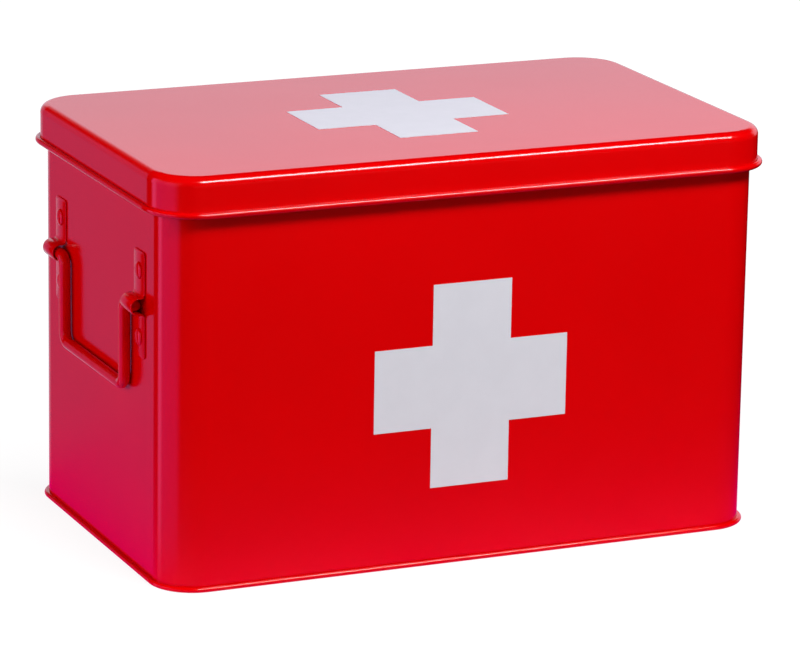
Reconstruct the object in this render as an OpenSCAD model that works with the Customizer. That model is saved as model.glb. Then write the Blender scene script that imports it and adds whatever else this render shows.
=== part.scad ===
// Sheet-steel medicine box with a wired-edge hinged lid, two drop handles and a lift-out tray.
// Millimetres. The origin is on the table under the middle of the box, +X to its right,
// -Y towards its front and +Z up. The lid is closed and the handles hang.

/* [Box] */
// Outer width of the walls, left to right
box_w = 310; // [260:1:380]
// Outer depth of the walls, front to back
box_d = 185; // [175:1:240]
// Overall height of the closed box
box_h = 202; // [185:1:240]
// Outer radius of the upright corners
corner_r = 20; // [16:0.5:30]
// Sheet thickness of the walls
wall_t = 0.5; // [0.4:0.05:0.7]
// Radius of the edge rolled inwards round the top of the walls
top_roll_r = 1.4; // [1.2:0.1:1.8]

/* [Base] */
// Sheet thickness of the base
base_t = 0.5; // [0.4:0.05:0.7]
// Height of the base panel's underside above the table
base_recess = 3.5; // [3.2:0.1:6]
// How far the bottom seam stands out from the walls
rim_out = 2.3; // [2.1:0.1:3.5]

/* [Lid] */
// Sheet thickness of the lid
lid_t = 0.5; // [0.4:0.05:0.6]
// Height of the lid, from its top face to the middle of its edge bead
lid_depth = 18; // [15:0.5:24]
// Clearance between the walls and the inside of the lid's skirt
lid_gap = 3.1; // [3:0.1:4]
// Outer radius of the lid's top edge
lid_edge_r = 4.5; // [3:0.1:6]
// Outer radius of the bead rolled outwards round the lid's lower edge
bead_r = 1.5; // [1.4:0.1:1.8]
// Height of the closed lid's panel above the rolled edge of the walls
seat_gap = 0.3; // [0.2:0.05:0.6]

/* [Crosses] */
// Length of each bar of the white crosses
cross_span = 101; // [80:1:120]
// Width of each bar of the white crosses
cross_bar = 41; // [30:1:50]
// Height of the front cross's middle above the table
front_cross_z = 89; // [80:1:100]
// Thickness of the printed crosses
print_t = 0.15; // [0.1:0.05:0.3]

/* [Handles] */
// Diameter of the handle rod
rod_d = 5.8; // [5:0.1:6.4]
// Drop from the handle's pivot to the middle of its grip bar
handle_drop = 42.8; // [36:0.1:44]
// Distance between the middles of a handle's legs
handle_span = 84; // [78:0.5:86]
// Middle radius of the bends between the legs and the grip bar
grip_bend_r = 6; // [5:0.5:10]
// Middle radius of the bends that turn a handle's ends outwards
eye_bend_r = 5; // [4:0.25:5]

/* [Brackets] */
// Distance between the middles of the two brackets of a handle
bracket_pitch = 110; // [108:0.5:116]
// Drop from the middle of the lid's edge bead to the bracket eyes
eye_drop = 50.5; // [49:0.5:56]
// Width of a bracket strap
strap_w = 14; // [12:0.5:16]
// Length of a bracket strap
strap_len = 52; // [48:0.5:60]
// Sheet thickness of a bracket strap
strap_t = 0.75; // [0.6:0.05:1]
// Inside diameter of a bracket's eye
eye_d = 7.3; // [7.2:0.1:8.4]
// Gap between the wall and a handle's rod in its eyes
rod_wall_gap = 0.35; // [0.3:0.05:1]
// Inside radius of the bends where the eye leaves the flat strap
eye_foot_r = 1.6; // [1:0.1:2]
// Corner radius of a strap's ends
strap_corner_r = 1.8; // [0.5:0.1:3]
// Height between the two rivets of a bracket
bracket_rivet_pitch = 32.4; // [28:0.2:36]

/* [Rivets] */
// Diameter of the rivets' domed heads
rivet_head_d = 8.4; // [6.5:0.1:9]
// Height of the rivets' domed heads
rivet_head_h = 1.5; // [1.1:0.1:2]
// Diameter of the rivets' shanks
rivet_shank_d = 4; // [3:0.1:4.5]

/* [Hinge] */
// Diameter of the hinge wire in the lid's rear bead
wire_d = 1.7; // [1.5:0.05:1.8]
// Running clearance between the wire and the curled hinge straps
wire_gap = 0.05; // [0.03:0.01:0.1]
// Distance from each end of the hinge wire to the curve of the corner
wire_inset = 10; // [6:0.5:20]
// Distance between the middles of the two hinge straps
hinge_pitch = 170; // [120:1:190]
// Width of a hinge strap
hinge_w = 22; // [20:0.5:28]
// Length of a hinge strap's flat part on the rear wall
hinge_flat = 15; // [13:0.5:20]
// Distance between the two rivets of a hinge strap
hinge_rivet_pitch = 11; // [10:0.5:13]

/* [Tray] */
// Drop from the top edge of the walls to the top of the tray's rim
tray_headroom = 25.7; // [24:0.1:32]
// Depth of the tray, from its underside to the top of its rolled rim
tray_h = 42; // [30:1:44]
// Sheet thickness of the tray and its dividers
tray_t = 0.5; // [0.4:0.05:0.8]
// Clearance between the tray's rim and the rolled edge of the walls
tray_gap = 1.7; // [1:0.1:3]
// How far the dividers stop below the top of the rim
divider_drop = 5; // [3:0.5:12]
// Width of the ledge that carries each end of the tray
rail_w = 14; // [12:0.5:18]
// Length of the ledges, front to back
rail_len = 96; // [80:1:100]
// Height of the ledges' flange on the wall
rail_flange = 10; // [8:0.5:11]
// Sheet thickness of the ledges
rail_t = 0.8; // [0.6:0.05:1]

/* [Hidden] */
$fn = 64;

// Names for the two sides, and for the front and the rear
LEFT = -1;
RIGHT = 1;
FRONT = -1;
REAR = 1;

// Paint
red = "#cc0a14";
white = "#e8ecf2";
grey = "#b9bec4";

// Bottom seam: the base is folded round a flange that is itself folded once
seam_gap = 0.05;
fold_gap = 0.4;
flange_end_gap = 0.5;
flange_bend_r = 0.3;
rim_h = 2 * (base_t + seam_gap + wall_t) + fold_gap;
rim_r = rim_h / 2;
rim_mid_x = rim_out - rim_r;
flange_top_z = base_t + seam_gap + wall_t;
base_bend_r = 1;
base_upright_x = -(wall_t + seam_gap + base_t);
flange_foot_r = flange_bend_r + wall_t + seam_gap;

// Wall
wall_top_z = box_h - lid_t - seat_gap;
lap_w = 6;
lap_t = 0.6;

// Lid
bead_z = box_h - lid_depth;
bead_x = lid_gap + bead_r;
curl_gap = 0.15;
curl_turn = 360 - acos((bead_r - lid_t - curl_gap) / bead_r);

// Handles: each rod lies on the bottom of its two eyes
eye_z = bead_z - eye_drop;
eye_ro = eye_d / 2 + strap_t;
eye_x = rod_d / 2 + rod_wall_gap;
rod_rest_gap = 0.2;
pivot_z = eye_z - (eye_d - rod_d) / 2 + rod_rest_gap;
rod_end_inset = 1.5;
eye_turn = acos((strap_t + eye_foot_r - eye_x) / (eye_foot_r + eye_ro));
eye_foot_z = (eye_foot_r + eye_ro) * sin(eye_turn);

// Rivets
rivet_hole_gap = 0.05;
rivet_edge_h = 0.4;
rivet_tail_d = rivet_shank_d * 1.6;
rivet_tail_h = 0.9;

// Hinge: the strap curls round the wire to the same outline as the lid's bead
wire_len = box_w - 2 * (corner_r + wire_inset);
hinge_t = bead_r - wire_d / 2 - wire_gap;
hinge_curl_turn = 280;
hinge_jog_turn = 45;
hinge_jog_r = 1;
hinge_neck = bead_r + 0.5;
hinge_jog_reach = bead_x - bead_r;
hinge_jog_run = (hinge_jog_reach - (2 * hinge_jog_r + hinge_t) * (1 - cos(hinge_jog_turn)))
    / sin(hinge_jog_turn);
hinge_jog_h = (2 * hinge_jog_r + hinge_t) * sin(hinge_jog_turn) + hinge_jog_run * cos(hinge_jog_turn);
hinge_foot_z = bead_z - hinge_neck - hinge_jog_h - hinge_flat;
hinge_rivet_z = hinge_foot_z + hinge_flat / 2;
notch_gap = 0.4;

// Tray: its rim passes the rolled edge of the walls
tray_rim_r = 0.7;
tray_rim_x = 2 * tray_rim_r + tray_t;
tray_z = wall_top_z - tray_headroom - tray_h;
tray_inset = 2 * top_roll_r + tray_gap + tray_rim_x;
tray_w = box_w - 2 * tray_inset;
tray_d = box_d - 2 * tray_inset;
tray_r = corner_r - tray_inset;
tray_bend_r = 3;
tray_seat_gap = 0.1;
tray_floor_z = tray_z + tray_t;
divider_gap = 0.2;
divider_h = tray_h - tray_t - divider_drop;
divider_corner_r = tray_bend_r + 0.5;
long_divider_l = tray_w - 2 * (tray_t + divider_gap);
cross_divider_l = tray_d - 2 * (tray_t + divider_gap);
cross_divider_x = (long_divider_l - tray_t) / 6;
halving_gap = 0.1;

// A pie slice from angle a to angle b
module pie(r, a, b) {
    count = max(1, ceil((b - a) / 45));
    polygon(concat([[0, 0]], [for (i = [0:count]) r * [cos(a + (b - a) * i / count), sin(a + (b - a) * i / count)]]));
}

// Part of a ring, from angle a to angle b
module ring_part(outer, inner, a, b) {
    intersection() {
        difference() {
            circle(r = outer);
            circle(r = inner);
        }
        pie(2 * outer, a, b);
    }
}

// Section of a bent sheet, drawn from the origin along +X with the sheet on its left.
// Each step is [straight run, turn to the left in degrees, inside radius of the bend].
module bent_sheet(t, steps, i = 0) {
    run = steps[i][0];
    turn = steps[i][1];
    r = steps[i][2];
    if (run > 0)
        square([run, t]);
    if (turn > 0)
        translate([run, t + r])
            ring_part(r + t, r, -90, turn - 90);
    if (turn < 0)
        translate([run, -r])
            ring_part(r + t, r, 90 + turn, 90);
    swing = turn > 0 ? t + r : -r;
    if (i + 1 < len(steps))
        translate([run, swing])
            rotate(turn)
                translate([0, -swing])
                    bent_sheet(t, steps, i + 1);
}

// A round bar bent in one plane, with the same steps and the bends' middle radii
module bent_rod(d, steps, i = 0) {
    run = steps[i][0];
    turn = steps[i][1];
    r = steps[i][2];
    rotate([0, 90, 0])
        cylinder(d = d, h = run);
    if (turn != 0)
        translate([run, turn > 0 ? r : -r, 0])
            rotate(turn > 0 ? -90 : 90 + turn)
                rotate_extrude(angle = abs(turn))
                    translate([r, 0])
                        circle(d = d);
    swing = turn > 0 ? r : -r;
    if (i + 1 < len(steps))
        translate([run, swing, 0])
            rotate(turn)
                translate([0, -swing, 0])
                    bent_rod(d, steps, i + 1);
}

// Takes a section right round a rectangle with rounded corners. The section's x is the
// distance outside the rectangle's edge, and its y is the height.
module carry_round(w, d, r) {
    for (quarter = [0:3]) {
        across = quarter % 2 == 0 ? w : d;
        along = quarter % 2 == 0 ? d : w;
        rotate(90 * quarter) {
            translate([across / 2, along / 2 - r, 0])
                rotate([90, 0, 0])
                    linear_extrude(along - 2 * r)
                        children();
            translate([across / 2 - r, along / 2 - r, 0])
                rotate_extrude(angle = 90)
                    translate([r, 0])
                        children();
        }
    }
}

// The flat middle of a panel whose edge carry_round makes
module panel_middle(w, d, r, z, t) {
    translate([r - w / 2, r - d / 2, z])
        cube([w - 2 * r, d - 2 * r, t]);
}

// Puts a shape drawn on the plane x = 0, facing +X, on the left or the right wall
module on_side(side) {
    mirror([side == LEFT ? 1 : 0, 0, 0])
        translate([box_w / 2, 0, 0])
            children();
}

// Puts a shape drawn on the plane x = 0, facing +X, on the rear wall at a place across it
module on_rear(x) {
    translate([x, box_d / 2, 0])
        rotate(90)
            children();
}

// The places of the rivets of one bracket, and of one hinge strap
module bracket_rivet_places() {
    for (up = [-1, 1])
        translate([0, 0, eye_z + up * bracket_rivet_pitch / 2])
            children();
}

module hinge_rivet_places() {
    for (along = [-1, 1])
        translate([0, along * hinge_rivet_pitch / 2, hinge_rivet_z])
            children();
}

module bracket_places() {
    for (end = [FRONT, REAR])
        translate([0, end * bracket_pitch / 2, 0])
            children();
}

// A hole through a wall or a strap for a rivet's shank
module rivet_hole() {
    rotate([0, 90, 0])
        cylinder(d = rivet_shank_d + 2 * rivet_hole_gap, h = 4 * (wall_t + strap_t), center = true);
}

// A rivet with a domed head on a strap of thickness t and its closed end inside the wall
module rivet(t) {
    dome_h = rivet_head_h - rivet_edge_h;
    dome_r = (pow(rivet_head_d / 2, 2) + pow(dome_h, 2)) / (2 * dome_h);
    tail = wall_t + rivet_tail_h;
    rotate([0, 90, 0]) {
        translate([0, 0, t])
            rotate_extrude() {
                square([rivet_head_d / 2, rivet_edge_h]);
                intersection() {
                    translate([0, rivet_head_h - dome_r])
                        circle(r = dome_r);
                    translate([0, rivet_edge_h])
                        square([rivet_head_d / 2, rivet_head_h]);
                }
            }
        translate([0, 0, -wall_t])
            cylinder(d = rivet_shank_d, h = wall_t + t);
        translate([0, 0, -tail])
            cylinder(d = rivet_tail_d, h = rivet_tail_h);
    }
}

// Four walls in one sheet: a folded flange at the foot, a rolled edge at the top
module body_wall() {
    flange_run = rim_mid_x - flange_end_gap;
    foot_run = rim_mid_x - flange_bend_r;
    wall_run = wall_top_z - top_roll_r - flange_top_z - flange_bend_r;
    color(red)
        difference() {
            union() {
                carry_round(box_w, box_d, corner_r)
                    translate([flange_end_gap, flange_top_z + fold_gap])
                        bent_sheet(wall_t, [
                            [flange_run, -180, fold_gap / 2],
                            [foot_run, -90, flange_bend_r],
                            [wall_run, 270, top_roll_r - wall_t],
                        ]);
                wall_lap();
            }
            for (side = [LEFT, RIGHT])
                on_side(side)
                    bracket_places()
                        bracket_rivet_places()
                            rivet_hole();
            for (x = [-1, 1])
                on_rear(x * hinge_pitch / 2)
                    hinge_rivet_places()
                        rivet_hole();
        }
}

// The upright lap where the sheet's two ends meet, in the middle of the rear wall
module wall_lap() {
    foot = rim_h + 1;
    head = wall_top_z - 3 * top_roll_r;
    translate([0, box_d / 2, foot])
        linear_extrude(head - foot)
            polygon([
                [-lap_w / 2 - lap_t, 0], [lap_w / 2 + lap_t, 0],
                [lap_w / 2, lap_t], [-lap_w / 2, lap_t],
            ]);
}

// Raised base panel, whose edge is folded round the flange of the walls
module base_panel() {
    edge_x = base_upright_x - base_bend_r;
    upright_run = base_recess - base_bend_r - base_t - flange_foot_r;
    color(red) {
        carry_round(box_w, box_d, corner_r)
            translate([-corner_r, base_recess])
                bent_sheet(base_t, [
                    [corner_r + edge_x, -90, base_bend_r],
                    [upright_run, 90, flange_foot_r],
                    [rim_mid_x - flange_bend_r, 180, rim_r - base_t],
                    [rim_mid_x - 2 * seam_gap, 0, 0],
                ]);
        panel_middle(box_w, box_d, corner_r, base_recess, base_t);
    }
}

// A cross of two equal bars, printed flat on a face
module cross_print() {
    linear_extrude(print_t) {
        square([cross_span, cross_bar], center = true);
        square([cross_bar, cross_span], center = true);
    }
}

module front_cross() {
    color(white)
        translate([0, -box_d / 2, front_cross_z])
            rotate([90, 0, 0])
                cross_print();
}

// Half of a bracket's section, from the strap's end to the crown of the eye
module bracket_half_section() {
    reach = eye_x + eye_ro + 1;
    intersection() {
        bent_sheet(strap_t, [
            [strap_len / 2 - eye_foot_z, -eye_turn, eye_foot_r],
            [0, eye_turn + 10, eye_d / 2],
        ]);
        translate([0, -reach])
            square([strap_len / 2, 2 * reach]);
    }
}

module bracket_section() {
    bracket_half_section();
    translate([strap_len, 0])
        mirror([1, 0])
            bracket_half_section();
}

// A strap with an eye bent into its middle, riveted to the wall above and below the eye
module bracket(side, end) {
    color(red)
        on_side(side)
            translate([0, end * bracket_pitch / 2, 0])
                difference() {
                    intersection() {
                        translate([strap_t, strap_w / 2, eye_z - strap_len / 2])
                            rotate([90, 0, 0])
                                linear_extrude(strap_w)
                                    rotate(90)
                                        bracket_section();
                        translate([0, 0, eye_z])
                            rounded_plate(strap_w, strap_len, strap_corner_r, 2 * (eye_x + eye_ro + strap_t));
                    }
                    bracket_rivet_places()
                        rivet_hole();
                }
}

// A plate facing X with rounded corners: across in Y, up in Z, half of it each way in X
module rounded_plate(across, up, r, thick) {
    rotate([90, 0, 90])
        linear_extrude(thick, center = true)
            difference() {
                square([across, up], center = true);
                for (x = [-1, 1], y = [-1, 1])
                    translate([x * across / 2, y * up / 2])
                        difference() {
                            square(2 * r, center = true);
                            translate([-x * r, -y * r])
                                circle(r = r);
                        }
            }
}

module bracket_rivets(side) {
    color(red)
        on_side(side)
            bracket_places()
                bracket_rivet_places()
                    rivet(strap_t);
}

// Drop handle of bent rod, whose ends turn outwards into the eyes
module handle(side) {
    tip = bracket_pitch / 2 + strap_w / 2 - rod_end_inset;
    end_run = tip - handle_span / 2 - eye_bend_r;
    leg_run = handle_drop - eye_bend_r - grip_bend_r;
    color(red)
        on_side(side)
            translate([eye_x, -tip, pivot_z])
                rotate([90, 0, 90])
                    bent_rod(rod_d, [
                        [end_run, -90, eye_bend_r],
                        [leg_run, 90, grip_bend_r],
                        [handle_span - 2 * grip_bend_r, 90, grip_bend_r],
                        [leg_run, -90, eye_bend_r],
                        [end_run, 0, 0],
                    ]);
}

// Lid pressed from one sheet, with notches in its rear bead for the hinge straps
module lid_shell() {
    panel_run = corner_r + lid_gap + lid_t - lid_edge_r;
    skirt_run = lid_depth - lid_edge_r;
    notch_h = bead_r + notch_gap;
    color(red)
        difference() {
            union() {
                carry_round(box_w, box_d, corner_r)
                    translate([-corner_r, box_h - lid_t])
                        bent_sheet(lid_t, [
                            [panel_run, -90, lid_edge_r - lid_t],
                            [skirt_run, curl_turn, bead_r - lid_t],
                        ]);
                panel_middle(box_w, box_d, corner_r, box_h - lid_t, lid_t);
            }
            for (x = [-1, 1])
                on_rear(x * hinge_pitch / 2)
                    translate([bead_x - bead_r - notch_gap, -hinge_w / 2 - notch_gap, bead_z - notch_h])
                        cube([2 * notch_h, hinge_w + 2 * notch_gap, 2 * notch_h]);
        }
}

module lid_cross() {
    color(white)
        translate([0, 0, box_h])
            cross_print();
}

// Straight wire in the lid's rear bead, which the hinge straps turn on
module hinge_wire() {
    color(grey)
        translate([-wire_len / 2, box_d / 2 + bead_x, bead_z])
            rotate([0, 90, 0])
                cylinder(d = wire_d, h = wire_len);
}

// Strap riveted to the rear wall, stepped out under the bead and curled round the wire
module hinge_strap(x) {
    color(red)
        on_rear(x)
            difference() {
                translate([hinge_t, hinge_w / 2, hinge_foot_z])
                    rotate([90, 0, 0])
                        linear_extrude(hinge_w)
                            rotate(90)
                                bent_sheet(hinge_t, [
                                    [hinge_flat, -hinge_jog_turn, hinge_jog_r],
                                    [hinge_jog_run, hinge_jog_turn, hinge_jog_r],
                                    [hinge_neck, -hinge_curl_turn, bead_r - hinge_t],
                                ]);
                hinge_rivet_places()
                    rivet_hole();
            }
}

module hinge_rivets() {
    color(red)
        for (x = [-1, 1])
            on_rear(x * hinge_pitch / 2)
                hinge_rivet_places()
                    rivet(hinge_t);
}

// Ledge welded inside an end wall, which carries one end of the tray
module tray_rail(side) {
    bend_r = 1;
    top_z = tray_z - tray_seat_gap;
    color(red)
        on_side(side)
            translate([-wall_t, rail_len / 2, top_z - rail_t - bend_r - rail_flange])
                rotate([90, 0, 0])
                    linear_extrude(rail_len)
                        rotate(90)
                            bent_sheet(rail_t, [
                                [rail_flange, 90, bend_r],
                                [rail_w - rail_t - bend_r, 0, 0],
                            ]);
}

// Open tray with a rolled rim
module tray_pan() {
    wall_run = tray_h - tray_t - tray_bend_r - tray_rim_r - tray_t;
    color(white) {
        carry_round(tray_w, tray_d, tray_r)
            translate([-tray_r, tray_z])
                bent_sheet(tray_t, [
                    [tray_r - tray_t - tray_bend_r, 90, tray_bend_r],
                    [wall_run, -270, tray_rim_r],
                ]);
        panel_middle(tray_w, tray_d, tray_r, tray_z, tray_t);
    }
}

// A tray divider facing X, standing on the tray's floor, with its lower corners cut back
module divider(length) {
    translate([-tray_t / 2, 0, tray_floor_z])
        rotate([90, 0, 90])
            linear_extrude(tray_t)
                difference() {
                    translate([-length / 2, 0])
                        square([length, divider_h]);
                    for (x = [-1, 1])
                        translate([x * length / 2, 0])
                            rotate(45)
                                square(divider_corner_r * sqrt(2), center = true);
                }
}

// A slot through half of a divider's height, where another one crosses it
module halving_slot(from_top) {
    width = tray_t + 2 * halving_gap;
    low = from_top ? divider_h / 2 - halving_gap / 2 : -1;
    high = from_top ? divider_h + 1 : divider_h / 2 + halving_gap / 2;
    translate([-width / 2, -width / 2, tray_floor_z + low])
        cube([width, width, high - low]);
}

module tray_long_divider() {
    color(white)
        difference() {
            rotate(90)
                divider(long_divider_l);
            for (x = [-1, 1])
                translate([x * cross_divider_x, 0, 0])
                    halving_slot(true);
        }
}

module tray_cross_divider(side) {
    color(white)
        translate([side * cross_divider_x, 0, 0])
            difference() {
                divider(cross_divider_l);
                halving_slot(false);
            }
}

body_wall();
base_panel();
front_cross();
bracket(LEFT, FRONT);  // left_bracket_front
bracket(LEFT, REAR);  // left_bracket_rear
bracket_rivets(LEFT);  // left_bracket_rivets
bracket(RIGHT, FRONT);  // right_bracket_front
bracket(RIGHT, REAR);  // right_bracket_rear
bracket_rivets(RIGHT);  // right_bracket_rivets
hinge_strap(-hinge_pitch / 2);  // hinge_strap_left
hinge_strap(hinge_pitch / 2);  // hinge_strap_right
hinge_rivets();
tray_rail(LEFT);  // tray_rail_left
tray_rail(RIGHT);  // tray_rail_right
lid_shell();
lid_cross();
hinge_wire();
handle(LEFT);  // left_handle
handle(RIGHT);  // right_handle
tray_pan();
tray_long_divider();
tray_cross_divider(LEFT);  // tray_cross_divider_left
tray_cross_divider(RIGHT);  // tray_cross_divider_right
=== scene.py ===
"""Looks of a red sheet-steel medicine box: enamel, printed crosses, handles and a pale studio.

Every size is in metres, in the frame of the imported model: the origin is on the table under the
middle of the box, +X to its right, -Y towards its front and +Z up.
"""

from __future__ import annotations

import logging
import math
from dataclasses import dataclass
from enum import Enum
from typing import Any, Callable, Mapping, Optional, Sequence, Union

import bmesh
import bpy
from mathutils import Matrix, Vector

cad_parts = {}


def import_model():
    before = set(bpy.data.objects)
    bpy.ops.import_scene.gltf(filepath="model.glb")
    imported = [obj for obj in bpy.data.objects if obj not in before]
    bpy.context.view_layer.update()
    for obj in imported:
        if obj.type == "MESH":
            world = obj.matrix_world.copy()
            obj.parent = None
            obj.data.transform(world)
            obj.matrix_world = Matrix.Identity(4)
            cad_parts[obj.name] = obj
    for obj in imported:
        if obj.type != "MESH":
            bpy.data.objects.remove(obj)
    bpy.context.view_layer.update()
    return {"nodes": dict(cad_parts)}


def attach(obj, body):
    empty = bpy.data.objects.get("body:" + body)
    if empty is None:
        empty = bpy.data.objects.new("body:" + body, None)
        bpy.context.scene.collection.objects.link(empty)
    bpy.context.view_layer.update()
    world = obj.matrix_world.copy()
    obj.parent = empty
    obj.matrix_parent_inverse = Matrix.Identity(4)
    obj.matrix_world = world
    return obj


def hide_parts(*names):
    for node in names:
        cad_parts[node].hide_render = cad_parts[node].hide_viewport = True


LOG = logging.getLogger("medicine_box")

Colour = tuple[float, float, float]
Value = Union["Field", float]

# Sizes that more than one piece of the end hardware shares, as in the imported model.
EYE_UP = 0.1335  # height of the middle of an eye
EYE_ALONG = 0.055  # how far in front of or behind the middle a bracket sits
ROD_OUT = 0.00325  # from the wall's outside to the middle of the handle's rod
STRAP_SHEET = 0.00075  # thickness of a bracket's strap
WALL_SHEET = 0.0005  # thickness of the wall

WELD = 0.000002  # points closer than this are one point
NEAR_ENOUGH = 0.00001  # slack when a part of a mesh is picked by its place
QUARTER_TURN = math.radians(90)
WHITE = (1.0, 1.0, 1.0)


class Slot(str, Enum):
    """The record's material slots."""

    RED = "red_enamel"
    PRINT = "white_print"
    TRAY = "white_enamel"
    WIRE = "zinc_wire"


class Field:
    """A number or colour that changes over a surface: one socket with Python's arithmetic."""

    def __init__(self, graph: "Graph", socket: bpy.types.NodeSocket) -> None:
        """Wrap a socket.

        Args:
            graph: The nodes that the socket belongs to.
            socket: The output socket that holds the value.
        """
        self.graph = graph
        self.socket = socket

    def __add__(self, other: Value) -> "Field":
        """Return the sum."""
        return self.graph.maths("ADD", self, other)

    def __sub__(self, other: Value) -> "Field":
        """Return the difference."""
        return self.graph.maths("SUBTRACT", self, other)

    def __rsub__(self, other: Value) -> "Field":
        """Return the difference, with the field on the right."""
        return self.graph.maths("SUBTRACT", other, self)

    def __mul__(self, other: Value) -> "Field":
        """Return the product."""
        return self.graph.maths("MULTIPLY", self, other)

    def size(self) -> "Field":
        """Return the value without its sign."""
        return self.graph.maths("ABSOLUTE", self)

    def most(self, other: Value) -> "Field":
        """Return the larger of the two."""
        return self.graph.maths("MAXIMUM", self, other)

    def rise(self, low: float, high: float) -> "Field":
        """Return 0 below low, 1 above high and a smooth rise in between."""
        node = self.graph.node(
            "ShaderNodeMapRange",
            {"interpolation_type": "SMOOTHSTEP"},
            {"Value": self, "From Min": low, "From Max": high},
        )
        return Field(self.graph, node.outputs["Result"])

    def window(self, low: float, high: float, soft: float) -> "Field":
        """Return 1 between two values and 0 outside them, with soft ends.

        Args:
            low: The middle of the rise.
            high: The middle of the fall.
            soft: Half the width of the rise and of the fall.

        Returns:
            The window as a field.
        """
        return self.rise(low - soft, low + soft) * (1 - self.rise(high - soft, high + soft))


class Graph:
    """The nodes of one material or of the world."""

    def __init__(self, tree: bpy.types.NodeTree) -> None:
        """Empty a node tree and take it over.

        Args:
            tree: The node tree of a material or of the world.
        """
        self.tree = tree
        tree.nodes.clear()

    def node(
        self,
        kind: str,
        settings: Optional[Mapping[str, Any]] = None,
        sockets: Optional[Mapping[Union[str, int], Any]] = None,
    ) -> bpy.types.Node:
        """Add a node.

        Args:
            kind: The node's type.
            settings: The node's own settings, set before its sockets.
            sockets: A value, a field or an output socket for each input, by name or number.

        Returns:
            The new node.
        """
        made = self.tree.nodes.new(kind)
        for name, value in (settings or {}).items():
            setattr(made, name, value)
        for key, value in (sockets or {}).items():
            self.feed(made.inputs[key], value)
        return made

    def feed(self, socket: bpy.types.NodeSocket, value: Any) -> None:
        """Link a field or an output socket to an input, or set the input's own value."""
        if isinstance(value, Field):
            self.tree.links.new(value.socket, socket)
        elif isinstance(value, bpy.types.NodeSocket):
            self.tree.links.new(value, socket)
        elif isinstance(value, tuple) and len(value) == 3 and len(socket.default_value) == 4:
            socket.default_value = (*value, 1.0)
        else:
            socket.default_value = value

    def maths(self, operation: str, *values: Value) -> Field:
        """Add a Math node.

        Args:
            operation: The node's operation.
            values: Its inputs, in order.

        Returns:
            The result as a field.
        """
        made = self.node("ShaderNodeMath", {"operation": operation}, dict(enumerate(values)))
        return Field(self, made.outputs[0])

    def place(self, kind: str = "Object") -> Field:
        """Return a place or direction from the Texture Coordinate node."""
        return Field(self, self.node("ShaderNodeTexCoord").outputs[kind])

    def parts(self, vector: Field) -> tuple[Field, Field, Field]:
        """Return the x, y and z of a vector."""
        split = self.node("ShaderNodeSeparateXYZ", sockets={0: vector})
        return tuple(Field(self, out) for out in split.outputs)

    def noise(self, size: float, detail: float = 2.0, stretch: Colour = (1, 1, 1)) -> Field:
        """Return noise from 0 to 1.

        Args:
            size: The rough size of its features, in metres.
            detail: How many finer layers it has.
            stretch: How much finer it is along each axis.

        Returns:
            The noise as a field.
        """
        scale = tuple(finer / size for finer in stretch)
        scaled = self.node("ShaderNodeMapping", sockets={"Vector": self.place(), "Scale": scale})
        sockets = {"Vector": scaled.outputs[0], "Scale": 1.0, "Detail": detail, "Roughness": 0.55}
        return Field(self, self.node("ShaderNodeTexNoise", sockets=sockets).outputs[0])

    def mix(self, factor: Value, low: Any, high: Any) -> Field:
        """Mix two colours.

        Args:
            factor: 0 for the first colour and 1 for the second.
            low: The first colour.
            high: The second colour.

        Returns:
            The mixed colour.
        """
        made = self.node("ShaderNodeMix", {"data_type": "RGBA"}, {0: factor, 6: low, 7: high})
        return Field(self, made.outputs[2])

    def bump(self, height: Field, depth: float, under: Optional[Field] = None) -> Field:
        """Return a normal that follows a height.

        Args:
            height: The height, from 0 to 1.
            depth: The height's real size, in metres.
            under: The normal of a coarser bump beneath it.

        Returns:
            The normal as a field.
        """
        sockets: dict[Union[str, int], Any] = {"Height": height, "Distance": depth, "Strength": 1.0}
        if under is not None:
            sockets["Normal"] = under
        return Field(self, self.node("ShaderNodeBump", sockets=sockets).outputs[0])

    def finish(self, kind: str, shader: bpy.types.NodeSocket) -> None:
        """Link a shader to a new output node of the named type."""
        self.node(kind, sockets={0: shader})


def new_material(name: str) -> tuple[bpy.types.Material, Graph]:
    """Return a new material and its empty graph."""
    material = bpy.data.materials.new(name)
    material.use_nodes = True
    return material, Graph(material.node_tree)


@dataclass(frozen=True)
class Enamel:
    """Glossy stoved enamel on sheet steel."""

    name: str
    colour: Colour
    shade: Colour
    gloss_roughness: float = 0.13
    haze: float = 0.06
    sheet_wave: float = 0.00006
    sheet_wave_size: float = 0.055
    peel_depth: float = 0.0000016
    peel_size: float = 0.0011
    grain_depth: float = 0.0000007
    grain_size: float = 0.00035

    def make(self) -> bpy.types.Material:
        """Return the enamel's material."""
        material, graph = new_material(self.name)
        tone = graph.noise(0.09, 3.0).rise(0.32, 0.7)
        haze = graph.noise(0.035, 4.0)
        wave = graph.bump(graph.noise(self.sheet_wave_size, 1.0), self.sheet_wave)
        peel = graph.bump(graph.noise(self.peel_size, 1.0), self.peel_depth, wave)
        grain = graph.bump(graph.noise(self.grain_size, 1.0), self.grain_depth, peel)
        shader = graph.node(
            "ShaderNodeBsdfPrincipled",
            sockets={
                "Base Color": graph.mix(tone, self.shade, self.colour),
                "Roughness": haze * self.haze + (self.gloss_roughness - self.haze / 2),
                "IOR": 1.5,
                "Normal": grain,
            },
        )
        graph.finish("ShaderNodeOutputMaterial", shader.outputs[0])
        return material


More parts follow.
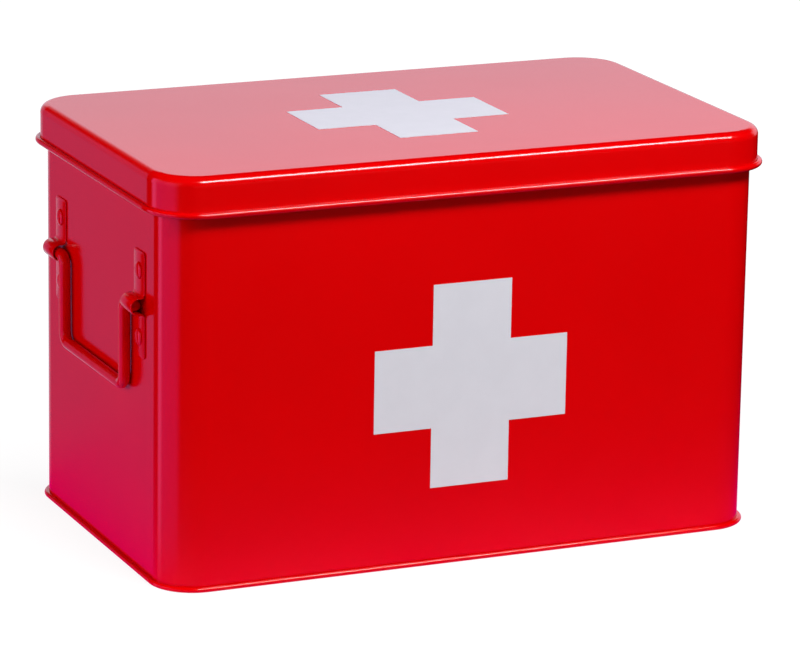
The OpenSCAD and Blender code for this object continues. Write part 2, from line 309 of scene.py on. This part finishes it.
@dataclass(frozen=True)
class Print:
    """Flat white ink, printed on the enamel."""

    name: str
    colour: Colour
    shade: Colour
    roughness: float = 0.2
    ink_depth: float = 0.000002
    ink_size: float = 0.0006

    def make(self) -> bpy.types.Material:
        """Return the print's material."""
        material, graph = new_material(self.name)
        cloud = graph.noise(0.012, 5.0).rise(0.3, 0.72)
        ink = graph.bump(graph.noise(self.ink_size, 2.0), self.ink_depth)
        shader = graph.node(
            "ShaderNodeBsdfPrincipled",
            sockets={
                "Base Color": graph.mix(cloud, self.shade, self.colour),
                "Roughness": graph.noise(0.004, 2.0) * 0.08 + (self.roughness - 0.04),
                "IOR": 1.5,
                "Normal": ink,
            },
        )
        graph.finish("ShaderNodeOutputMaterial", shader.outputs[0])
        return material


@dataclass(frozen=True)
class ZincWire:
    """Drawn steel wire with a dull zinc coat."""

    name: str
    colour: Colour
    shade: Colour

    def make(self) -> bpy.types.Material:
        """Return the wire's material."""
        material, graph = new_material(self.name)
        spangle = graph.noise(0.003, 3.0)
        lines = graph.bump(graph.noise(0.0004, 2.0, (0.05, 1, 1)), 0.000008)
        shader = graph.node(
            "ShaderNodeBsdfPrincipled",
            sockets={
                "Base Color": graph.mix(spangle, self.shade, self.colour),
                "Metallic": 1.0,
                "Roughness": spangle * 0.25 + 0.28,
                "Normal": lines,
            },
        )
        graph.finish("ShaderNodeOutputMaterial", shader.outputs[0])
        return material


@dataclass
class Finishes:
    """The finish of each of the record's slots."""

    made: dict[Slot, bpy.types.Material]

    @classmethod
    def mix_all(cls) -> "Finishes":
        """Make every finish once."""
        red = Enamel("red_enamel", (0.66, 0.0, 0.0007), (0.635, 0.0, 0.0006))
        tray = Enamel("white_enamel", (0.78, 0.78, 0.76), (0.74, 0.74, 0.715), 0.16)
        ink = Print("white_print", (0.65, 0.655, 0.705), (0.635, 0.64, 0.69))
        wire = ZincWire("zinc_wire", (0.62, 0.63, 0.64), (0.47, 0.48, 0.5))
        recipes = {Slot.RED: red, Slot.TRAY: tray, Slot.PRINT: ink, Slot.WIRE: wire}
        return cls({slot: recipe.make() for slot, recipe in recipes.items()})

    def dress(self, piece: bpy.types.Object, slot: Slot) -> None:
        """Give a piece the finish of a slot."""
        piece.data.materials.clear()
        piece.data.materials.append(self.made[slot])


@dataclass
class SteelBox:
    """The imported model's own pieces that are shown as they are."""

    nodes: Mapping[str, bpy.types.Object]
    finishes: Finishes

    def dress_nodes(self) -> None:
        """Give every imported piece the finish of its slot."""
        for name, node in self.nodes.items():
            self.finishes.dress(node, self.slot_of(name))
            LOG.info("dressed %s", name)

    @staticmethod
    def slot_of(name: str) -> Slot:
        """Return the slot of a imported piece."""
        if name.endswith("_cross"):
            return Slot.PRINT
        if name == "hinge_wire":
            return Slot.WIRE
        if name.startswith(("tray_pan", "tray_long", "tray_cross")):
            return Slot.TRAY
        return Slot.RED


class Bench:
    """A modeller's moves, each one a Blender operator on the piece in hand."""

    @staticmethod
    def clear() -> None:
        """Select nothing."""
        bpy.ops.object.select_all(action="DESELECT")

    @staticmethod
    def take(piece: bpy.types.Object) -> None:
        """Select one piece alone."""
        Bench.clear()
        piece.select_set(True)
        bpy.context.view_layer.objects.active = piece

    @staticmethod
    def pick(piece: bpy.types.Object, kind: str, test: Callable[[Vector], bool]) -> None:
        """Select the parts of a mesh whose middle passes a test.

        Args:
            piece: The piece that is in edit mode.
            kind: "VERT" or "EDGE".
            test: Takes the part's middle.
        """
        bpy.ops.mesh.select_mode(type=kind)
        bpy.ops.mesh.select_all(action="DESELECT")
        mesh = bmesh.from_edit_mesh(piece.data)
        for part in mesh.verts if kind == "VERT" else mesh.edges:
            points = [part.co] if kind == "VERT" else [vert.co for vert in part.verts]
            if test(sum(points, Vector()) / len(points)):
                part.select_set(True)
        bmesh.update_edit_mesh(piece.data)

    @staticmethod
    def apply(piece: bpy.types.Object, kind: str, **settings: Any) -> None:
        """Add a modifier with its settings and apply it."""
        Bench.take(piece)
        modifier = piece.modifiers.new(kind.lower(), kind)
        for name, value in settings.items():
            setattr(modifier, name, value)
        bpy.ops.object.modifier_apply(modifier=modifier.name)

    @staticmethod
    def settle(piece: bpy.types.Object, sharp: float) -> None:
        """Put a finished piece's place into its mesh, turn its faces outwards and smooth it.

        Args:
            piece: The finished piece.
            sharp: The angle, in degrees, over which an edge stays sharp.
        """
        Bench.take(piece)
        bpy.ops.object.transform_apply(location=True, rotation=True, scale=True)
        bpy.ops.object.mode_set(mode="EDIT")
        bpy.ops.mesh.select_all(action="SELECT")
        bpy.ops.mesh.remove_doubles(threshold=WELD)
        bpy.ops.mesh.normals_make_consistent(inside=False)
        bpy.ops.object.mode_set(mode="OBJECT")
        bpy.ops.object.shade_smooth_by_angle(angle=math.radians(sharp))

    @staticmethod
    def draw(along: float = 0.0, up: float = 0.0, across: float = 0.0) -> None:
        """Extrude what is selected straight on."""
        bpy.ops.mesh.extrude_region_move(TRANSFORM_OT_translate={"value": (across, along, up)})

    @staticmethod
    def join(pieces: Sequence[bpy.types.Object], name: str) -> bpy.types.Object:
        """Join pieces into one and name it."""
        Bench.take(pieces[0])
        for piece in pieces:
            piece.select_set(True)
        bpy.ops.object.join()
        pieces[0].name = name
        return pieces[0]

    @staticmethod
    def bend(angle: float, centre: Vector, axis: Vector, steps: int) -> None:
        """Spin what is selected round a centre, leaving a bent stretch behind it.

        Args:
            angle: The turn by the right-hand rule, against which Blender counts it.
            centre: The bend's centre.
            axis: The bend's axis.
            steps: How many faces the stretch has along it.
        """
        bpy.ops.mesh.spin(steps=steps, angle=-angle, center=centre, axis=axis, dupli=False)


@dataclass(frozen=True)
class Side:
    """One end wall of the box: -1 for the left end and 1 for the right end."""

    name: str
    sign: int
    wall: float = 0.155

    def at(self, out: float, along: float, up: float) -> Vector:
        """Return the place that lies out from this end wall."""
        return Vector((self.sign * (self.wall + out), along, up))


@dataclass
class EyeBracket:
    """A steel strap with an eye bent into its middle, under a soft coat of enamel."""

    side: Side
    name: str
    along: float
    eye_up: float = EYE_UP
    width: float = 0.014
    length: float = 0.052
    sheet: float = STRAP_SHEET
    eye_radius: float = 0.00365
    foot_radius: float = 0.0016
    eye_out: float = ROD_OUT
    corner: float = 0.0018
    soft_edge: float = 0.00028
    foot_steps: int = 10
    eye_steps: int = 36

    def build(self) -> bpy.types.Object:
        """Bend, thicken and soften the strap.

        Returns:
            The bracket, ready to be dressed.
        """
        foot = self.foot_radius + self.sheet
        turn = math.acos((foot - self.eye_out) / (foot + self.eye_radius))
        foot_up = (foot + self.eye_radius) * math.sin(turn)
        half = self.length / 2
        flat = half - foot_up
        out = self.side.sign
        Bench.clear()
        bpy.ops.mesh.primitive_plane_add(
            size=1,
            location=self.side.at(0, self.along, self.eye_up - half + flat / 2),
            rotation=(0, QUARTER_TURN * out, 0),
        )
        strap = bpy.context.active_object
        strap.scale = (flat, self.width, 1)
        bpy.ops.object.transform_apply(location=True, rotation=True, scale=True)
        bpy.ops.object.mode_set(mode="EDIT")
        top = self.eye_up - foot_up
        Bench.pick(strap, "EDGE", lambda middle: middle.z > top - NEAR_ENOUGH)
        axis = Vector((0, 1, 0))
        eye = self.side.at(self.eye_out, self.along, self.eye_up)
        upper_foot = self.side.at(foot, self.along, self.eye_up + foot_up)
        Bench.bend(out * turn, self.side.at(foot, self.along, top), axis, self.foot_steps)
        Bench.bend(-out * 2 * turn, eye, axis, self.eye_steps)
        Bench.bend(out * turn, upper_foot, axis, self.foot_steps)
        Bench.draw(up=flat)
        Bench.pick(strap, "VERT", lambda place: abs(place.z - self.eye_up) > half - NEAR_ENOUGH)
        bpy.ops.mesh.bevel(offset=self.corner, segments=6, profile=0.5, affect="VERTICES")
        bpy.ops.mesh.select_all(action="SELECT")
        bpy.ops.mesh.remove_doubles(threshold=WELD)
        bpy.ops.mesh.normals_make_consistent(inside=False)
        self.face_out(strap)
        bpy.ops.object.mode_set(mode="OBJECT")
        Bench.apply(strap, "SOLIDIFY", thickness=self.sheet, offset=1.0, use_even_offset=True)
        edge = {"limit_method": "ANGLE", "angle_limit": math.radians(50)}
        Bench.apply(strap, "BEVEL", width=self.soft_edge, segments=3, **edge)
        Bench.settle(strap, 50.0)
        strap.name = self.name
        return strap

    def face_out(self, strap: bpy.types.Object) -> None:
        """Turn the open sheet so that its front is away from the wall."""
        mesh = bmesh.from_edit_mesh(strap.data)
        flat = max(mesh.faces, key=lambda face: abs(face.calc_center_median().z - self.eye_up))
        flat.normal_update()
        if flat.normal.x * self.side.sign < 0:
            bpy.ops.mesh.flip_normals()


@dataclass
class DropHandle:
    """A bail of bent steel rod that swings in two eyes."""

    side: Side
    name: str
    rod: float = 0.0058
    out: float = ROD_OUT
    pivot_up: float = 0.13295
    drop: float = 0.0428
    span: float = 0.084
    grip_bend: float = 0.006
    eye_bend: float = 0.005
    tip: float = 0.0575
    end_round: float = 0.0016
    rod_sides: int = 28
    bend_steps: int = 12

    def build(self) -> bpy.types.Object:
        """Draw the rod out from one tip to the other.

        Returns:
            The handle, ready to be dressed.
        """
        leg = self.drop - self.eye_bend - self.grip_bend
        Bench.clear()
        bpy.ops.mesh.primitive_circle_add(
            vertices=self.rod_sides,
            radius=self.rod / 2,
            fill_type="NGON",
            location=self.side.at(self.out, -self.tip, self.pivot_up),
            rotation=(QUARTER_TURN, 0, 0),
        )
        bail = bpy.context.active_object
        bpy.ops.object.transform_apply(location=True, rotation=True, scale=True)
        bpy.ops.object.mode_set(mode="EDIT")
        bpy.ops.mesh.select_all(action="SELECT")
        near = -self.span / 2
        run = self.tip - self.span / 2 - self.eye_bend
        eye_bend_up = self.pivot_up - self.eye_bend
        grip_bend_up = self.pivot_up - self.drop + self.grip_bend
        Bench.draw(along=run)
        self.corner(-QUARTER_TURN, near - self.eye_bend, eye_bend_up)
        Bench.draw(up=-leg)
        self.corner(QUARTER_TURN, near + self.grip_bend, grip_bend_up)
        Bench.draw(along=self.span - 2 * self.grip_bend)
        self.corner(QUARTER_TURN, -near - self.grip_bend, grip_bend_up)
        Bench.draw(up=leg)
        self.corner(-QUARTER_TURN, -near + self.eye_bend, eye_bend_up)
        Bench.draw(along=run)
        Bench.pick(bail, "EDGE", lambda middle: abs(middle.y) > self.tip - NEAR_ENOUGH)
        bpy.ops.mesh.bevel(offset=self.end_round, segments=5, profile=0.5, affect="EDGES")
        bpy.ops.object.mode_set(mode="OBJECT")
        Bench.settle(bail, 50.0)
        bail.name = self.name
        return bail

    def corner(self, angle: float, along: float, up: float) -> None:
        """Bend the rod's end round a centre in the handle's own plane."""
        Bench.bend(angle, self.side.at(self.out, along, up), Vector((1, 0, 0)), self.bend_steps)


@dataclass
class DomedRivets:
    """The four rivets of one end wall, with enamel drawn round their heads."""

    side: Side
    name: str
    eye_up: float = EYE_UP
    pitch: float = 0.0324
    seat: float = STRAP_SHEET
    head: float = 0.0042
    head_edge: float = 0.0002
    rise: float = 0.0015
    dome_power: float = 0.75
    dome_steps: int = 7
    crown: float = 0.00002
    shank: float = 0.002
    tail: float = 0.0032
    tail_rise: float = 0.0009
    wall: float = WALL_SHEET
    sides: int = 32

    def build(self) -> bpy.types.Object:
        """Make one rivet, and copy it to its four places.

        Returns:
            The rivets as one piece, ready to be dressed.
        """
        made = [
            self.one(along, self.eye_up + up * self.pitch / 2)
            for along in (-EYE_ALONG, EYE_ALONG)
            for up in (-1, 1)
        ]
        rivets = Bench.join(made, self.name)
        Bench.settle(rivets, 35.0)
        return rivets

    def one(self, along: float, up: float) -> bpy.types.Object:
        """Turn one rivet from a disc, ring by ring, from its tail to the crown of its head."""
        rings = self.rings()
        radius, out = rings[0]
        Bench.clear()
        bpy.ops.mesh.primitive_circle_add(
            vertices=self.sides,
            radius=radius,
            fill_type="NGON",
            location=self.side.at(out, along, up),
            rotation=(0, QUARTER_TURN, 0),
        )
        rivet = bpy.context.active_object
        bpy.ops.object.transform_apply(location=True, rotation=True, scale=True)
        bpy.ops.object.mode_set(mode="EDIT")
        bpy.ops.mesh.select_all(action="SELECT")
        for next_radius, next_out in rings[1:]:
            Bench.draw(across=self.side.sign * (next_out - out))
            scale = max(next_radius, self.crown) / max(radius, self.crown)
            centre = self.side.at(next_out, along, up)
            bpy.ops.transform.resize(value=(1, scale, scale), center_override=centre)
            radius, out = next_radius, next_out
        bpy.ops.object.mode_set(mode="OBJECT")
        return rivet

    def rings(self) -> list[tuple[float, float]]:
        """Return the radius of each ring and how far out from the wall it lies."""
        found = [
            (self.tail, -self.wall - self.tail_rise),
            (self.tail, -self.wall),
            (self.shank, -self.wall),
            (self.shank, self.seat),
            (self.head, self.seat),
        ]
        base = self.seat + self.head_edge
        for step in range(self.dome_steps + 1):
            angle = QUARTER_TURN * step / self.dome_steps
            radius = self.head * math.cos(angle) ** self.dome_power
            found.append((radius, base + (self.rise - self.head_edge) * math.sin(angle)))
        return found


@dataclass
class EndHardware:
    """The brackets, rivets and drop handle of one end of the box."""

    side: Side
    finishes: Finishes

    def build(self) -> None:
        """Model the hardware, dress it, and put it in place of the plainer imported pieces."""
        end = self.side.name
        made = {
            f"{end}_bracket_{place}": EyeBracket(
                self.side, f"{end}_enamelled_bracket_{place}", along
            )
            for place, along in (("front", -EYE_ALONG), ("rear", EYE_ALONG))
        }
        made[f"{end}_bracket_rivets"] = DomedRivets(self.side, f"{end}_enamelled_rivets")
        made[f"{end}_handle"] = DropHandle(self.side, f"{end}_enamelled_handle")
        for node, maker in made.items():
            piece = maker.build()
            self.finishes.dress(piece, Slot.RED)
            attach(piece, f"handle_{end}" if node.endswith("_handle") else "box")
            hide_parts(node)
            LOG.info("modelled %s, %d faces", piece.name, len(piece.data.polygons))


@dataclass(frozen=True)
class Lamp:
    """A soft box: a rectangle of light that faces the object."""

    name: str
    towards: Colour
    distance: float
    width: float
    height: float
    strength: float
    aim: Colour = (0.0, 0.0, 0.12)
    mirrored: bool = True

    def make(self) -> None:
        """Hang the lamp and aim it."""
        data = bpy.data.lights.new(self.name, "AREA")
        data.shape = "RECTANGLE"
        data.size, data.size_y = self.width, self.height
        data.energy = self.strength * math.pi * self.width * self.height
        lamp = bpy.data.objects.new(self.name, data)
        bpy.context.scene.collection.objects.link(lamp)
        way = Vector(self.towards).normalized()
        lamp.location = Vector(self.aim) + way * self.distance
        lamp.rotation_mode = "QUATERNION"
        lamp.rotation_quaternion = way.to_track_quat("Z", "Y")
        lamp.visible_glossy = self.mirrored


@dataclass
class Studio:
    """A pale floor with painted shade, a painted pool of light and a painted reflection near the
    box, soft lamps, what the enamel mirrors, and the camera.
    """

    camera_place: Colour = (-0.87738, -1.98950, 0.68778)
    camera_turn: Colour = (74.7407, -0.9265, -23.6226)
    lens: float = 203.96
    floor_size: float = 12.0
    foot_half: tuple[float, float] = (0.157, 0.095)
    # How far from the box's foot the floor's painted shade, painted pool of light and painted
    # reflection glow reach.
    glow_reach: float = 0.075

    def build(self) -> None:
        """Make the whole studio."""
        bpy.context.scene.view_settings.view_transform = "Standard"
        self.make_camera()
        self.make_lamps()
        self.make_world()
        self.make_floor()
        LOG.info("built the studio")

    def make_camera(self) -> None:
        """Place the camera where the photograph was taken from."""
        data = bpy.data.cameras.new("camera")
        data.sensor_width, data.lens = 36.0, self.lens
        camera = bpy.data.objects.new("camera", data)
        bpy.context.scene.collection.objects.link(camera)
        camera.location = self.camera_place
        camera.rotation_euler = [math.radians(angle) for angle in self.camera_turn]
        bpy.context.scene.camera = camera

    def make_lamps(self) -> None:
        """Hang the key light in front and above, and a soft fill low on each of the four sides."""
        Lamp("key", (0.2, -0.62, 0.74), 1.15, 0.85, 0.26, 23.0).make()
        Lamp("front_fill", (0.1, -1.0, 0.06), 1.2, 1.4, 0.3, 1.1, mirrored=False).make()
        Lamp("left_fill", (-1.0, -0.1, 0.2), 1.1, 1.3, 1.0, 2.2, mirrored=False).make()
        Lamp("right_fill", (1.0, 0.25, 0.08), 1.4, 1.4, 1.0, 0.9, mirrored=False).make()
        Lamp("rear_fill", (-0.15, 1.0, 0.08), 1.5, 1.6, 1.0, 1.3, mirrored=False).make()

    def make_world(self) -> None:
        """Make a white background, and the screens round the set that the enamel mirrors."""
        world = bpy.data.worlds.new("studio")
        world.use_nodes = True
        bpy.context.scene.world = world
        graph = Graph(world.node_tree)
        across, along, up = graph.parts(graph.place("Generated"))
        turn = graph.maths("ARCTAN2", across, along)
        lift = graph.maths("ARCSINE", up)
        deg = math.radians
        below = 1 - lift.rise(deg(18), deg(25))
        wall = turn.window(deg(0), deg(75), deg(7)) * lift.rise(deg(-8), deg(4)) * below
        low = turn.window(deg(-27), deg(24), deg(3)) * (1 - lift.rise(deg(9), deg(19)))
        low_tint = graph.mix(turn.rise(deg(-20), deg(8)), (0.3, 0.13, 0.36), (0.8, 0.72, 0.85))
        strip = turn.window(deg(-63), deg(-49), deg(3)) * below
        panel = turn.window(deg(-118), deg(-61), deg(9)) * below
        screens = graph.mix(wall, (0.005, 0.0, 0.002), (0.9, 0.91, 1.06))
        screens = graph.mix(low * (1 - wall), screens, low_tint)
        screens = graph.mix(panel, screens, (0.8, 0.12, 0.85))
        screens = graph.mix(strip, screens, (2.4, 0.45, 1.5))
        rays = graph.node("ShaderNodeLightPath").outputs
        seen = Field(graph, rays["Is Camera Ray"]).most(Field(graph, rays["Is Transmission Ray"]))
        shown = graph.mix(seen, screens, WHITE)
        light = graph.node("ShaderNodeBackground", sockets={"Color": shown})
        graph.finish("ShaderNodeOutputWorld", light.outputs[0])

    def make_floor(self) -> None:
        """Lay the pale floor, and set what of it the camera sees and what the enamel mirrors: a
        glow with painted shade near the box for the camera, a painted pool of light in its bounce,
        and a painted magenta reflection glow near the box for glossy rays.
        """
        Bench.clear()
        bpy.ops.mesh.primitive_plane_add(size=self.floor_size)
        floor = bpy.context.active_object
        floor.name = "floor"
        material, graph = new_material("pale_floor")
        across, along, _ = graph.parts(graph.place())
        away = (across.size() - self.foot_half[0]).most(along.size() - self.foot_half[1]).most(0.0)
        # near is 1 at the box's foot and falls off away from it; it places the floor's painted
        # shade, painted pool of light and painted reflection glow.
        near = graph.maths("EXPONENT", away * (-1 / self.glow_reach))
        # Painted pool of light: the floor's bounce colour is pale near the box and dark away from
        # it.
        painted_light_pool = graph.mix(near, (0.1, 0.1, 0.1), (0.9, 0.84, 0.84))
        # Painted shade: the glow that the camera sees is grey at the box's foot and white away from
        # it.
        seen = graph.mix(near, WHITE, (0.9, 0.9, 0.9))
        bounce = graph.node("ShaderNodeBsdfDiffuse", sockets={"Color": painted_light_pool})
        # Painted reflection: near the box the floor glows magenta for glossy rays only, which puts
        # a pink sheen at the foot of the walls.
        painted_reflection_glow = graph.node("ShaderNodeEmission", sockets={"Color": (0.9, 0.0, 0.34)})
        shadow = graph.node("ShaderNodeBsdfDiffuse", sockets={"Color": (0.12, 0.12, 0.12)})
        painted_shade_glow = graph.node("ShaderNodeEmission", sockets={"Color": seen})
        clear = graph.node("ShaderNodeBsdfTransparent")
        shown = graph.node(
            "ShaderNodeAddShader", sockets={0: shadow.outputs[0], 1: painted_shade_glow.outputs[0]}
        )
        rays = graph.node("ShaderNodeLightPath").outputs
        # Glossy rays see the painted reflection glow near the box and see through the floor further
        # out.
        mirrored = self.blend(graph, near.socket, clear, painted_reflection_glow)
        unseen = self.blend(graph, rays["Is Glossy Ray"], bounce, mirrored)
        mixed = self.blend(graph, rays["Is Camera Ray"], unseen, shown)
        graph.finish("ShaderNodeOutputMaterial", mixed.outputs[0])
        floor.data.materials.append(material)

    @staticmethod
    def blend(
        graph: Graph, factor: bpy.types.NodeSocket, low: bpy.types.Node, high: bpy.types.Node
    ) -> bpy.types.Node:
        """Return a shader that goes from one shader to another as a factor goes from 0 to 1."""
        return graph.node(
            "ShaderNodeMixShader", sockets={0: factor, 1: low.outputs[0], 2: high.outputs[0]}
        )


def main() -> None:
    """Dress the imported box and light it."""
    logging.basicConfig(level=logging.INFO, format="%(message)s")
    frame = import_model()
    finishes = Finishes.mix_all()
    SteelBox(frame["nodes"], finishes).dress_nodes()
    for side in (Side("left", -1), Side("right", 1)):
        EndHardware(side, finishes).build()
    Studio().build()


if __name__ == "__main__":
    main()
